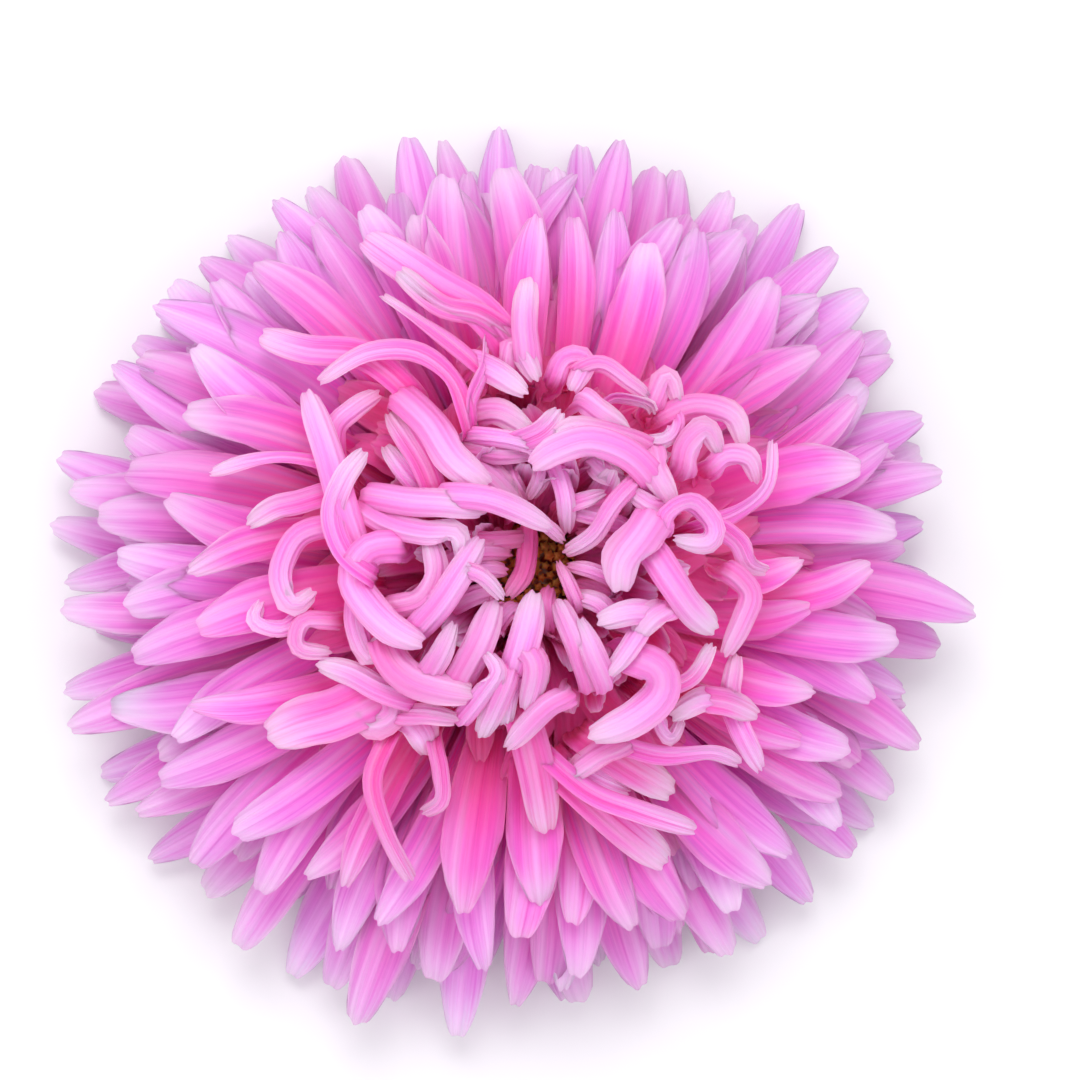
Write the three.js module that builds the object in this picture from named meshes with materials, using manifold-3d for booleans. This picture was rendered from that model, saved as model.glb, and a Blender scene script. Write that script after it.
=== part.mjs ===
// A cut double China aster bloom, lying face up on its lowest florets and the cut end of its short stem.
// Millimetres, +Z up out of the bloom's face. The origin is on the surface that the bloom lies on, below
// its middle.
//
// From below to above: the stem, two rows of leafy bracts, the cup of inner bracts, the receptacle that
// everything grows from, the whorls of strap-shaped florets from the lowest to the innermost, and the
// small disc in the middle.
import * as THREE from "three";
import { mergeVertices } from "three/addons/utils/BufferGeometryUtils.js";
import Module from "manifold-3d";

const wasm = await Module();
wasm.setup();

// -------------------------------------------------------- driving dimensions, millimetres and degrees

const CLEARANCE = 0.3; // between each piece and the next
const BLOOM_RADIUS = 55.5; // from the axis to the tips of the lowest florets
const DOME_HEIGHT = 45; // from the surface to the tips of the innermost florets
const DISC_RADIUS = 4.6;

const STEM_LENGTH = 6.5; // from the cut end to the receptacle
const STEM_RADIUS = 2.6;
const STEM_RIDGES = 10;
const STEM_RIDGE_DEPTH = 0.25;

const RECEPTACLE_RADIUS = 15;
const RECEPTACLE_BOWL = 3.2; // how far its rim stands above the top of the stem
const RECEPTACLE_RIM = 1.2; // thickness of its edge

const FLORET_THICKNESS = 0.7;
const COLLAR_WIDTH = 1.5; // the ring of joined bases that holds a whorl together

const LOWEST_FLORETS = 24; // a multiple of four, so that the footprint is as wide as it is long
const WHORLS = 11; // the lowest one included
const SECOND_WHORL_FLORETS = 20;
const INNERMOST_FLORETS = 9;
const FLORET_BASE_WIDTH = 2.2;
const OUTER_FLORET_WIDTH = 7;
const INNER_FLORET_WIDTH = 3.8;
const FULLEST = 0.7; // share of a floret's length at which it is widest
const BLUNTNESS = 0.45; // width of a tip as a share of the widest part
const GOLDEN_ANGLE = 137.508; // from each whorl to the next, as the florets grow

const INNER_BRACT_THICKNESS = 0.7;
const BRACT_THICKNESS = 0.8;
const BRACTS_PER_ROW = 8;
const UPPER_BRACT = { reach: 24, width: 5, droop: 0.4, bases: 9 };
const LOWER_BRACT = { reach: 30, width: 7, droop: 2.6, bases: 6 };

const DISC_DOME = 1.6; // height of the disc's cushion, without its florets
const DISC_FLORETS = 26;
const DISC_FLORET_RADIUS = 0.42;
const DISC_FLORET_HEIGHT = 1.5;

// -------------------------------------------------------- colours

const surface = (color, roughness) => new THREE.MeshStandardMaterial({ color, roughness, metalness: 0 });
const OUTER_PINK = surface(0xe9a3df, 0.6);
const DEEP_PINK = surface(0xec74c4, 0.6);
const INNER_PINK = surface(0xf5b6e4, 0.55);
const DISC_OCHRE = surface(0xa8752c, 0.8);
const BRACT_GREEN = surface(0x5f7f3a, 0.7);
const PALE_GREEN = surface(0x9db36b, 0.7);
const STEM_GREEN = surface(0x7b9450, 0.7);

// -------------------------------------------------------- heights and radii worked out from them

const lerp = THREE.MathUtils.lerp;
const radians = THREE.MathUtils.degToRad;

const BOWL_BOTTOM = STEM_LENGTH + CLEARANCE;
const RIM_BOTTOM = BOWL_BOTTOM + RECEPTACLE_BOWL;
const RIM_TOP = RIM_BOTTOM + RECEPTACLE_RIM;
const WHORL_PITCH = FLORET_THICKNESS + CLEARANCE; // from one collar to the next, upwards
const INNERMOST_COLLAR_RADIUS = DISC_RADIUS + CLEARANCE + COLLAR_WIDTH / 2;
const OUTERMOST_COLLAR_RADIUS = RECEPTACLE_RADIUS - COLLAR_WIDTH / 2;

// The middle of a whorl's collar, as distance from the axis and height.
function collarOf(whorl) {
  const share = whorl / (WHORLS - 1);
  return new THREE.Vector2(
    lerp(OUTERMOST_COLLAR_RADIUS, INNERMOST_COLLAR_RADIUS, share),
    RIM_TOP + CLEARANCE + FLORET_THICKNESS / 2 + whorl * WHORL_PITCH,
  );
}

// -------------------------------------------------------- making solids

// A closed three.js geometry as a manifold-3d solid.
function solidOf(geometry) {
  const bare = geometry.clone();
  bare.deleteAttribute("normal");
  bare.deleteAttribute("uv");
  const merged = mergeVertices(bare, 1e-4);
  return new wasm.Manifold(
    new wasm.Mesh({
      numProp: 3,
      vertProperties: new Float32Array(merged.attributes.position.array),
      triVerts: new Uint32Array(merged.index.array),
    }),
  );
}

function geometryOf(solid) {
  const mesh = solid.getMesh();
  const geometry = new THREE.BufferGeometry();
  geometry.setAttribute("position", new THREE.BufferAttribute(mesh.vertProperties, 3));
  geometry.setIndex(new THREE.BufferAttribute(mesh.triVerts, 1));
  return geometry;
}

function joined(geometries) {
  return geometryOf(geometries.map(solidOf).reduce((all, next) => all.add(next)));
}

// A solid of revolution about +Z, from its outline as [distance from the axis, height] pairs.
function turned(outline, segments = 32) {
  const points = outline.map(([radius, height]) => new THREE.Vector2(radius, height));
  return new THREE.LatheGeometry(points, segments).rotateX(Math.PI / 2);
}

// A strap-shaped blade: a square rod bent along a curve of (distance from the axis, height) and pressed
// flat, so that its section is a lozenge. widthAt gives the full width at a share of the way along it.
function blade(curve, widthAt, thickness, stations) {
  const rod = new THREE.CylinderGeometry(1, 1, 1, 4, stations);
  const position = rod.attributes.position;
  for (let i = 0; i < position.count; i++) {
    const share = THREE.MathUtils.clamp(position.getY(i) + 0.5, 0, 1);
    const point = curve.getPoint(share);
    const along = curve.getTangent(share);
    const across = (-position.getX(i) * widthAt(share)) / 2;
    const up = (position.getZ(i) * thickness) / 2;
    position.setXYZ(i, point.x - along.y * up, across, point.y + along.x * up);
  }
  return rod;
}

// A width that grows from the base to the fullest place and closes in to a blunt tip.
function strapWidth(base, widest) {
  return (share) =>
    share < FULLEST
      ? lerp(base, widest, Math.sin((Math.PI / 2) * (share / FULLEST)))
      : lerp(widest * BLUNTNESS, widest, Math.cos((Math.PI / 2) * ((share - FULLEST) / (1 - FULLEST))));
}

const group = new THREE.Group();

function place(name, geometry, material) {
  const mesh = new THREE.Mesh(geometry, material);
  mesh.name = name;
  group.add(mesh);
}

const numbered = (name, number) => `${name}_${String(number).padStart(2, "0")}`;

// -------------------------------------------------------- the stem, cut square

{
  const outline = new THREE.Shape();
  const steps = STEM_RIDGES * 4;
  const points = Array.from({ length: steps }, (_, i) => {
    const angle = (2 * Math.PI * i) / steps;
    const radius = STEM_RADIUS - (STEM_RIDGE_DEPTH * (1 - Math.cos(STEM_RIDGES * angle))) / 2;
    return new THREE.Vector2(radius * Math.cos(angle), radius * Math.sin(angle));
  });
  outline.setFromPoints(points);
  const stem = new THREE.ExtrudeGeometry(outline, { depth: STEM_LENGTH, bevelEnabled: false });
  place("stem", stem, STEM_GREEN);
}

// -------------------------------------------------------- the receptacle, a bowl below and a cone above

const CONE_INSET = COLLAR_WIDTH / 2 + CLEARANCE; // from the middle of a collar in to the cone
const CONE_TOP = collarOf(WHORLS - 1).y - FLORET_THICKNESS / 2;
{
  const foot = collarOf(0).x - CONE_INSET;
  const top = collarOf(WHORLS - 1).x - CONE_INSET;
  place(
    "receptacle",
    turned([
      [0, BOWL_BOTTOM],
      [STEM_RADIUS, BOWL_BOTTOM],
      [RECEPTACLE_RADIUS, RIM_BOTTOM],
      [RECEPTACLE_RADIUS, RIM_TOP],
      [foot, RIM_TOP],
      [top, CONE_TOP],
      [0, CONE_TOP],
    ]),
    PALE_GREEN,
  );
}

// -------------------------------------------------------- the inner bracts, a cup under the receptacle

const CUP_DROP = CLEARANCE + INNER_BRACT_THICKNESS; // from the receptacle down to the cup's underside
{
  const collar = STEM_RADIUS + CLEARANCE;
  const slope = RECEPTACLE_BOWL / (RECEPTACLE_RADIUS - STEM_RADIUS);
  const under = BOWL_BOTTOM + slope * CLEARANCE;
  place(
    "inner_bracts",
    turned([
      [collar, under - CUP_DROP],
      [RECEPTACLE_RADIUS, RIM_BOTTOM - CUP_DROP],
      [RECEPTACLE_RADIUS, RIM_BOTTOM - CLEARANCE],
      [collar, under - CLEARANCE],
      [collar, under - CUP_DROP],
    ]),
    PALE_GREEN,
  );
}

// -------------------------------------------------------- the two rows of leafy bracts

// A row's bracts start below the cup, run out under the lowest florets and droop at their tips.
function bractRow(name, bract, height, firstAngle) {
  const curve = new THREE.QuadraticBezierCurve(
    new THREE.Vector2(bract.bases, height),
    new THREE.Vector2(lerp(bract.bases, bract.reach, 0.5), height + RECEPTACLE_BOWL / 3),
    new THREE.Vector2(bract.reach, height - bract.droop),
  );
  const width = strapWidth(FLORET_BASE_WIDTH, bract.width);
  for (let i = 0; i < BRACTS_PER_ROW; i++) {
    const angle = firstAngle + (360 / BRACTS_PER_ROW) * i;
    const leaf = blade(curve, width, BRACT_THICKNESS, 5).rotateZ(radians(angle));
    place(numbered(name, i + 1), leaf, BRACT_GREEN);
  }
}

const BRACT_PITCH = BRACT_THICKNESS + CLEARANCE + 0.2;
const CUP_BOTTOM = BOWL_BOTTOM - CUP_DROP;
const UPPER_BRACT_HEIGHT = CUP_BOTTOM - CLEARANCE - BRACT_THICKNESS / 2 + RECEPTACLE_BOWL / 4;
bractRow("upper_bract", UPPER_BRACT, UPPER_BRACT_HEIGHT, 0);
bractRow("lower_bract", LOWER_BRACT, UPPER_BRACT_HEIGHT - BRACT_PITCH, 180 / BRACTS_PER_ROW);

// -------------------------------------------------------- the whorls of florets

// The line that a whorl's florets follow. The lowest florets leave the receptacle level and come down to
// rest on the surface. Each whorl above stands steeper and shorter, and the innermost close in over the
// disc.
function floretLine(whorl) {
  const share = whorl / (WHORLS - 1);
  const base = collarOf(whorl);
  const around = radians(84 * share);
  const tip = new THREE.Vector2(
    BLOOM_RADIUS * Math.cos(around),
    lerp(FLORET_THICKNESS / 2, DOME_HEIGHT - FLORET_THICKNESS, Math.sin(around)),
  );
  const length = base.distanceTo(tip);
  const leaving = radians(lerp(7, 66, share));
  const arriving = radians(lerp(-5, 128, share ** 1.15));
  const towards = (from, angle, distance) =>
    new THREE.Vector2(from.x + Math.cos(angle) * distance, from.y + Math.sin(angle) * distance);
  return new THREE.CubicBezierCurve(
    base,
    towards(base, leaving, 0.42 * length),
    towards(tip, arriving, -0.3 * length),
    tip,
  );
}

function whorlWidth(whorl) {
  const widest = lerp(OUTER_FLORET_WIDTH, INNER_FLORET_WIDTH, whorl / (WHORLS - 1));
  return strapWidth(FLORET_BASE_WIDTH, widest);
}

for (let i = 0; i < LOWEST_FLORETS; i++) {
  const floret = blade(floretLine(0), whorlWidth(0), FLORET_THICKNESS, 7);
  floret.rotateZ(radians((360 / LOWEST_FLORETS) * i));
  place(numbered("lowest_floret", i + 1), floret, OUTER_PINK);
}

// Every other whorl is one node: its florets, joined at their bases by the ring that they leave from.
for (let whorl = 1; whorl < WHORLS; whorl++) {
  const share = (whorl - 1) / (WHORLS - 2);
  const count = Math.round(lerp(SECOND_WHORL_FLORETS, INNERMOST_FLORETS, share));
  const base = collarOf(whorl);
  const halfWidth = COLLAR_WIDTH / 2;
  const halfHeight = FLORET_THICKNESS / 2;
  const section = [
    [base.x - halfWidth, base.y - halfHeight],
    [base.x + halfWidth, base.y - halfHeight],
    [base.x + halfWidth, base.y + halfHeight],
    [base.x - halfWidth, base.y + halfHeight],
    [base.x - halfWidth, base.y - halfHeight],
  ];
  const collar = turned(section, count);
  const florets = Array.from({ length: count }, (_, i) =>
    blade(floretLine(whorl), whorlWidth(whorl), FLORET_THICKNESS, 4).rotateZ(
      radians(whorl * GOLDEN_ANGLE + (360 / count) * i),
    ),
  );
  const pink = share < 0.35 ? OUTER_PINK : share < 0.7 ? DEEP_PINK : INNER_PINK;
  place(numbered("floret_whorl", whorl + 1), joined([collar, ...florets]), pink);
}

// -------------------------------------------------------- the disc: small tubular florets on a cushion

{
  const foot = CONE_TOP + CLEARANCE;
  const cushion = turned([
    [0, foot],
    [DISC_RADIUS - DISC_FLORET_RADIUS, foot],
    [DISC_RADIUS - DISC_FLORET_RADIUS, foot + DISC_DOME / 3],
    [DISC_RADIUS * 0.6, foot + DISC_DOME * 0.85],
    [0, foot + DISC_DOME],
  ]);
  const reach = DISC_RADIUS - 2 * DISC_FLORET_RADIUS;
  const florets = Array.from({ length: DISC_FLORETS }, (_, i) => {
    const angle = radians(i * GOLDEN_ANGLE);
    const radius = reach * Math.sqrt((i + 0.5) / DISC_FLORETS);
    const height = foot + DISC_DOME * (1 - 0.6 * (radius / DISC_RADIUS) ** 2);
    const narrow = DISC_FLORET_RADIUS * 0.7;
    const tube = new THREE.CylinderGeometry(DISC_FLORET_RADIUS, narrow, DISC_FLORET_HEIGHT, 6);
    tube.rotateX(Math.PI / 2);
    return tube.translate(radius * Math.cos(angle), radius * Math.sin(angle), height);
  });
  place("disc_florets", joined([cushion, ...florets]), DISC_OCHRE);
}

export default group;
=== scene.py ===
# A cut double China aster bloom, face up on the cut end of its stem. Its lowest florets end from one to
# five millimetres above the surface.
#
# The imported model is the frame: metres, +Z up out of the bloom's face, the origin on the surface that
# the bloom lies on. The sections follow the bloom as it is put together, from the stem up to the disc.
import functools
import math

import bpy
import numpy as np
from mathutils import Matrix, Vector


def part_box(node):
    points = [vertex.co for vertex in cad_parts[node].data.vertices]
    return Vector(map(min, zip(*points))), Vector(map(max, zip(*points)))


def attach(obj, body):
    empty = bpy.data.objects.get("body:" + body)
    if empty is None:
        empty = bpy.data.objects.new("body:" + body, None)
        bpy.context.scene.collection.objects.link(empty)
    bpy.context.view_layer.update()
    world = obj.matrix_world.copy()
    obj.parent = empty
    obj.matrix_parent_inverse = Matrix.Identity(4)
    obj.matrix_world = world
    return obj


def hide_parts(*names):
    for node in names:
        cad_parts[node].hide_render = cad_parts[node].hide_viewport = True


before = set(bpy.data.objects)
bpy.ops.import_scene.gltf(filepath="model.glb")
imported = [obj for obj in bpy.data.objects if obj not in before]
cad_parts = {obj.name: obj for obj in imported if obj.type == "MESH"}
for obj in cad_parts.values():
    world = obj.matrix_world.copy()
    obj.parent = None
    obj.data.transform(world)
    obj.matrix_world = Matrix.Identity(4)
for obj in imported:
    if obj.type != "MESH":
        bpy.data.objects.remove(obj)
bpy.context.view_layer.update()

# ------------------------------------------------------------------ camera
# The bloom is looked down on from its lower left, a little off its axis, by a long lens.
MM = 0.001
CAMERA_DISTANCE = 600 * MM
CAMERA_TILT = math.radians(8)
CAMERA_SIDE = math.radians(207)  # which way the camera leans from the axis, anticlockwise from +X
VIEW_WIDTH = 129.6 * MM  # what the frame's width takes in, at the look-at point
LOOK_AT = Vector((3.0 * MM, 4.6 * MM, 9 * MM))

camera_data = bpy.data.cameras.new("camera")
camera_data.sensor_width = 36
camera_data.lens = camera_data.sensor_width * CAMERA_DISTANCE / VIEW_WIDTH
camera = bpy.data.objects.new("camera", camera_data)
bpy.context.scene.collection.objects.link(camera)
lean = math.sin(CAMERA_TILT)
backward = Vector((lean * math.cos(CAMERA_SIDE), lean * math.sin(CAMERA_SIDE), math.cos(CAMERA_TILT)))
camera.location = LOOK_AT + backward * CAMERA_DISTANCE
rightward = Vector((0, 1, 0)).cross(backward).normalized()
upward = backward.cross(rightward)
turn = camera.matrix_world.to_3x3()
turn.col[0] = rightward
turn.col[1] = upward
turn.col[2] = backward
camera.rotation_euler = turn.to_euler()
bpy.context.scene.camera = camera
bpy.context.scene.view_settings.view_transform = "Standard"

# ------------------------------------------------------------------ floor and light
# A plain white surface, lit softly from all over by the sky and from above by two broad lamps.


def linear(hex_colour):
    """An sRGB hex colour as linear red, green, blue and full alpha."""
    shares = [int(hex_colour[i : i + 2], 16) / 255 for i in (1, 3, 5)]
    return [s / 12.92 if s <= 0.04045 else ((s + 0.055) / 1.055) ** 2.4 for s in shares] + [1.0]


def add(tree, kind, *inputs, **settings):
    """Adds a node. Its inputs in order are each a value, a socket, a node for its first output, or None."""
    made = tree.nodes.new(kind)
    for name, value in settings.items():
        setattr(made, name, value)
    sockets = [s for s in made.inputs if s.enabled]
    for socket, value in zip(sockets, inputs):
        if isinstance(value, bpy.types.Node):
            value = next(s for s in value.outputs if s.enabled)
        if isinstance(value, bpy.types.NodeSocket):
            tree.links.new(value, socket)
        elif value is not None:
            socket.default_value = value
    return made


def new_material(name, **settings):
    """A material with one Principled shader, whose own sockets take the settings. Returns both."""
    material = bpy.data.materials.new(name)
    material.use_nodes = True
    shader = material.node_tree.nodes["Principled BSDF"]
    for socket, value in settings.items():
        shader.inputs[socket.replace("_", " ").title().replace("Ior", "IOR")].default_value = value
    return material, shader


FLOOR_SIZE = 2.0

floor_data = bpy.data.meshes.new("floor")
half = FLOOR_SIZE / 2
corners = [(-half, -half, 0), (half, -half, 0), (half, half, 0), (-half, half, 0)]
floor_data.from_pydata(corners, [], [(0, 1, 2, 3)])
floor = bpy.data.objects.new("floor", floor_data)
bpy.context.scene.collection.objects.link(floor)
paper, _ = new_material("white_paper", base_color=linear("#f6f5f6"), roughness=0.9)
floor_data.materials.append(paper)

world = bpy.data.worlds.new("sky")
world.use_nodes = True
sky = world.node_tree.nodes["Background"]
sky.inputs["Color"].default_value = linear("#f6f4fa")
sky.inputs["Strength"].default_value = 1.02
bpy.context.scene.world = world


def lamp(name, place, size, power):
    """A square lamp that faces the bloom."""
    data = bpy.data.lights.new(name, "AREA")
    data.size = size
    data.energy = power
    made = bpy.data.objects.new(name, data)
    made.location = place
    made.rotation_euler = (Vector((0, 0, 0.02)) - Vector(place)).to_track_quat("-Z", "Y").to_euler()
    bpy.context.scene.collection.objects.link(made)


lamp("overhead_lamp", (-0.15, 0.55, 1.0), 0.55, 4.4)
lamp("side_lamp", (-0.8, -0.3, 0.8), 0.5, 1.4)

# ------------------------------------------------------------------ stem
# The stub that the head was cut with: a green, faintly ribbed stalk, whose skin is tough and hairy and
# whose cut end shows a ring of wood round white pith.
stem_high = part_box("stem")[1]
STEM_RADIUS = stem_high[0]

# Fresh green skin: dull, streaked along its length, with pith on the cut end.
stem_skin, shader = new_material("stem_skin", roughness=0.6, ior=1.45, subsurface_weight=0.1)
shader.inputs["Subsurface Scale"].default_value = 1 * MM
node = functools.partial(add, stem_skin.node_tree)
place = node("ShaderNodeTexCoord").outputs["Object"]
stretched = node("ShaderNodeVectorMath", place, (1, 1, 0.12), operation="MULTIPLY")
streaks = node("ShaderNodeTexNoise", stretched)
streaks.inputs["Scale"].default_value = 1 / (0.6 * MM)
skin = node("ShaderNodeMix", streaks, linear("#5d7c35"), linear("#93a85c"), data_type="RGBA")
flat = node("ShaderNodeVectorMath", place, (1, 1, 0), operation="MULTIPLY")
from_axis = node("ShaderNodeVectorMath", flat, operation="LENGTH").outputs["Value"]
wood = node("ShaderNodeMapRange", from_axis, 0.52 * STEM_RADIUS, 0.62 * STEM_RADIUS)
cut = node("ShaderNodeMix", wood, linear("#eef0d8"), linear("#b3c07e"), data_type="RGBA")
height = node("ShaderNodeSeparateXYZ", place).outputs["Z"]
is_cut = node("ShaderNodeMath", height, 0.05 * MM, operation="LESS_THAN")
rind = node("ShaderNodeMath", from_axis, 0.9 * STEM_RADIUS, operation="LESS_THAN")
is_cut = node("ShaderNodeMath", is_cut, rind, operation="MULTIPLY")
colour = node("ShaderNodeMix", is_cut, skin.outputs[2], cut.outputs[2], data_type="RGBA")
stem_skin.node_tree.links.new(colour.outputs[2], shader.inputs["Base Color"])
bump = node("ShaderNodeBump", 0.5, 0.2 * MM)
stem_skin.node_tree.links.new(streaks.outputs[0], bump.inputs["Height"])
stem_skin.node_tree.links.new(bump.outputs[0], shader.inputs["Normal"])
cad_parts["stem"].data.materials[0] = stem_skin

# ------------------------------------------------------------------ receptacle
# The fleshy mound that every floret sits on: pale green and firm, pitted where the florets are set in.
receptacle_high = np.array(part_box("receptacle")[1]) / MM
HEAD_RADIUS = receptacle_high[0]

# Moist plant flesh: pale, waxy, and soft to the light.
receptacle_flesh, shader = new_material(
    "receptacle_flesh", roughness=0.5, ior=1.45, subsurface_weight=0.3
)
shader.inputs["Subsurface Scale"].default_value = 2 * MM
node = functools.partial(add, receptacle_flesh.node_tree)
place = node("ShaderNodeTexCoord").outputs["Object"]
pits = node("ShaderNodeTexVoronoi", place)
pits.inputs["Scale"].default_value = 1 / (1.6 * MM)
pitted = node("ShaderNodeMapRange", pits.outputs["Distance"], 0.1, 0.5)
flesh = node("ShaderNodeMix", pitted, linear("#a05a3c"), linear("#d8b898"), data_type="RGBA")
receptacle_flesh.node_tree.links.new(flesh.outputs[2], shader.inputs["Base Color"])
bump = node("ShaderNodeBump", 0.6, 0.4 * MM)
receptacle_flesh.node_tree.links.new(pitted.outputs[0], bump.inputs["Height"])
receptacle_flesh.node_tree.links.new(bump.outputs[0], shader.inputs["Normal"])
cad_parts["receptacle"].data.materials[0] = receptacle_flesh

# ------------------------------------------------------------------ lower leafy bracts
# Eight green leaves that spread out flat under the bloom. Each is a thin spoon-shaped blade with a pale
# midrib and side veins, and grows from the top of the stem.
#
# Bracts and florets are all blades. A blade grows along a line, which is a chain of points with these
# attributes: side, the way across the blade to its left; width, in metres; roll, half the angle that its
# section is rolled up through; and tone, one number from 0 to 1 for the whole blade.


def blade_tree(name, outline, tube_roll):
    """A tree that makes a blade along each line. The outline is (share of the length, share of the
    width) pairs, and tube_roll is how much more its base is rolled up."""
    tree = bpy.data.node_groups.new(name, "GeometryNodeTree")
    tree.interface.new_socket("Lines", in_out="INPUT", socket_type="NodeSocketGeometry")
    tree.interface.new_socket("Stations", in_out="INPUT", socket_type="NodeSocketInt")
    tree.interface.new_socket("Round", in_out="INPUT", socket_type="NodeSocketInt")
    for title in ("Thickness", "Tip", "Notch", "Ripple", "Groove", "Ribs"):
        tree.interface.new_socket(title, in_out="INPUT", socket_type="NodeSocketFloat")
    tree.interface.new_socket("Material", in_out="INPUT", socket_type="NodeSocketMaterial")
    tree.interface.new_socket("Blades", in_out="OUTPUT", socket_type="NodeSocketGeometry")
    given = tree.nodes.new("NodeGroupInput").outputs
    node = functools.partial(add, tree)
    math_node, vector_node = "ShaderNodeMath", "ShaderNodeVectorMath"
    read, store = "GeometryNodeInputNamedAttribute", "GeometryNodeStoreNamedAttribute"

    # The line, made smooth and divided evenly, with the directions that the section needs.
    curve = node("GeometryNodeMeshToCurve", given["Lines"])
    curve = node("GeometryNodeCurveSplineType", curve, spline_type="CATMULL_ROM")
    curve = node("GeometryNodeResampleCurve", curve, None, given["Stations"], mode="COUNT")
    forward = node("GeometryNodeInputTangent")
    side = node(read, "side", data_type="FLOAT_VECTOR")
    slip = node(vector_node, side, forward, operation="DOT_PRODUCT").outputs["Value"]
    slipped = node(vector_node, forward, slip, operation="SCALE")
    side = node(vector_node, node(vector_node, side, slipped, operation="SUBTRACT"), operation="NORMALIZE")
    along = node("GeometryNodeSplineParameter").outputs["Factor"]
    middle = node("GeometryNodeInputPosition")
    curve = node(store, curve, None, "way_place", middle, data_type="FLOAT_VECTOR")
    curve = node(store, curve, None, "way_forward", forward, data_type="FLOAT_VECTOR")
    curve = node(store, curve, None, "way_side", side, data_type="FLOAT_VECTOR")
    curve = node(store, curve, None, "way_along", along, data_type="FLOAT")

    # The section starts as a circle: across is the place between the edges, and face is 1 in the middle
    # of the upper face, 0 at the edges and -1 in the middle of the lower face.
    ring = node("GeometryNodeCurvePrimitiveCircle", given["Round"])
    ring_place = node("GeometryNodeInputPosition")
    ring = node(store, ring, None, "way_ring", ring_place, data_type="FLOAT_VECTOR")
    mesh = node("GeometryNodeCurveToMesh", curve, ring)
    ring_place = node("ShaderNodeSeparateXYZ", node(read, "way_ring", data_type="FLOAT_VECTOR"))
    across = node(math_node, ring_place.outputs[0], operation="ARCSINE", use_clamp=False)
    across = node(math_node, across, 2 / math.pi, operation="MULTIPLY")
    face = ring_place.outputs[1]
    along = node(read, "way_along", data_type="FLOAT")
    forward = node(read, "way_forward", data_type="FLOAT_VECTOR")
    side = node(read, "way_side", data_type="FLOAT_VECTOR")
    up = node(vector_node, forward, side, operation="CROSS_PRODUCT")

    shape = node("ShaderNodeFloatCurve", 1.0, along)
    points = shape.mapping.curves[0].points
    points[0].location = outline[0]
    points[1].location = outline[-1]
    for pair in outline[1:-1]:
        points.new(*pair)
    shape.mapping.update()
    tone = node(read, "tone", data_type="FLOAT")
    blunt = node(math_node, node(math_node, tone, 7.13, operation="MULTIPLY"), operation="FRACT")
    blunt = node(math_node, blunt, 1.2, 0.5, operation="MULTIPLY_ADD")
    shape = node(math_node, shape, blunt, operation="POWER")
    width = node(read, "width", data_type="FLOAT")
    half_width = node(math_node, width, 0.5, operation="MULTIPLY")
    half_width = node(math_node, half_width, shape, operation="MULTIPLY")

    opened = node("ShaderNodeMapRange", along, 0.0, 0.35, tube_roll, 0.0)
    roll = node(math_node, node(read, "roll", data_type="FLOAT"), opened, operation="ADD")
    roll = node(math_node, roll, 0.02, operation="MAXIMUM")
    angle = node(math_node, across, roll, operation="MULTIPLY")
    radius = node(math_node, half_width, roll, operation="DIVIDE")

    # How far a point lies off the middle of the blade's thickness. Both ends run out to nothing.
    thin = node("ShaderNodeFloatCurve", 1.0, along)
    points = thin.mapping.curves[0].points
    points[0].location = (0, 0)
    points[1].location = (1, 0)
    points.new(0.06, 0.5)
    points.new(0.75, 0.5)
    thin.mapping.update()
    off = node(math_node, face, given["Thickness"], operation="MULTIPLY")
    off = node(math_node, off, thin, operation="MULTIPLY")

    # The ribs that run along the blade, the same on both faces, and the ripple of its edges.
    waves = node(math_node, given["Ribs"], across, operation="MULTIPLY")
    waves = node(math_node, node(math_node, waves, math.pi, operation="MULTIPLY"), operation="COSINE")
    late = node("ShaderNodeMapRange", along, 0.1, 0.45)
    depth = node(math_node, given["Groove"], late, operation="MULTIPLY")
    off = node(math_node, waves, depth, off, operation="MULTIPLY_ADD")
    phase = node(math_node, tone, 40.0, operation="MULTIPLY")
    phase = node(math_node, along, 14.0, phase, operation="MULTIPLY_ADD")
    lean_in = node(math_node, across, 1.3, phase, operation="MULTIPLY_ADD")
    swell = node(math_node, lean_in, operation="SINE")
    at_edge = node(math_node, across, across, operation="MULTIPLY")
    swell = node(math_node, swell, at_edge, operation="MULTIPLY")
    swell = node(math_node, swell, given["Ripple"], operation="MULTIPLY")
    swell = node(math_node, swell, late, operation="MULTIPLY")

    sine = node(math_node, angle, operation="SINE")
    cosine = node(math_node, angle, operation="COSINE")
    reach = node(math_node, radius, off, operation="SUBTRACT")
    out = node(math_node, reach, sine, operation="MULTIPLY")
    rise = node(math_node, radius, swell, operation="ADD")
    rise = node(math_node, rise, node(math_node, reach, cosine, operation="MULTIPLY"), operation="SUBTRACT")

    # The tip: rows of points bow back towards the edges in a half circle, and the last ones dip in.
    last = node("ShaderNodeMapRange", along, 0.6, 1.0, 0.0, 1.0, interpolation_type="SMOOTHERSTEP")
    edge = node(math_node, 1.0, at_edge, operation="SUBTRACT")
    edge = node(math_node, node(math_node, edge, 0.0, operation="MAXIMUM"), operation="SQRT")
    edge = node(math_node, 1.0, edge, operation="SUBTRACT")
    bow = node(math_node, edge, half_width, operation="MULTIPLY")
    bow = node(math_node, bow, given["Tip"], operation="MULTIPLY")
    dip = node(math_node, across, 7.0, phase, operation="MULTIPLY_ADD")
    dip = node(math_node, node(math_node, dip, operation="COSINE"), given["Notch"], operation="MULTIPLY")
    back = node(math_node, bow, dip, operation="ADD")
    back = node(math_node, back, last, operation="MULTIPLY")

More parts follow.
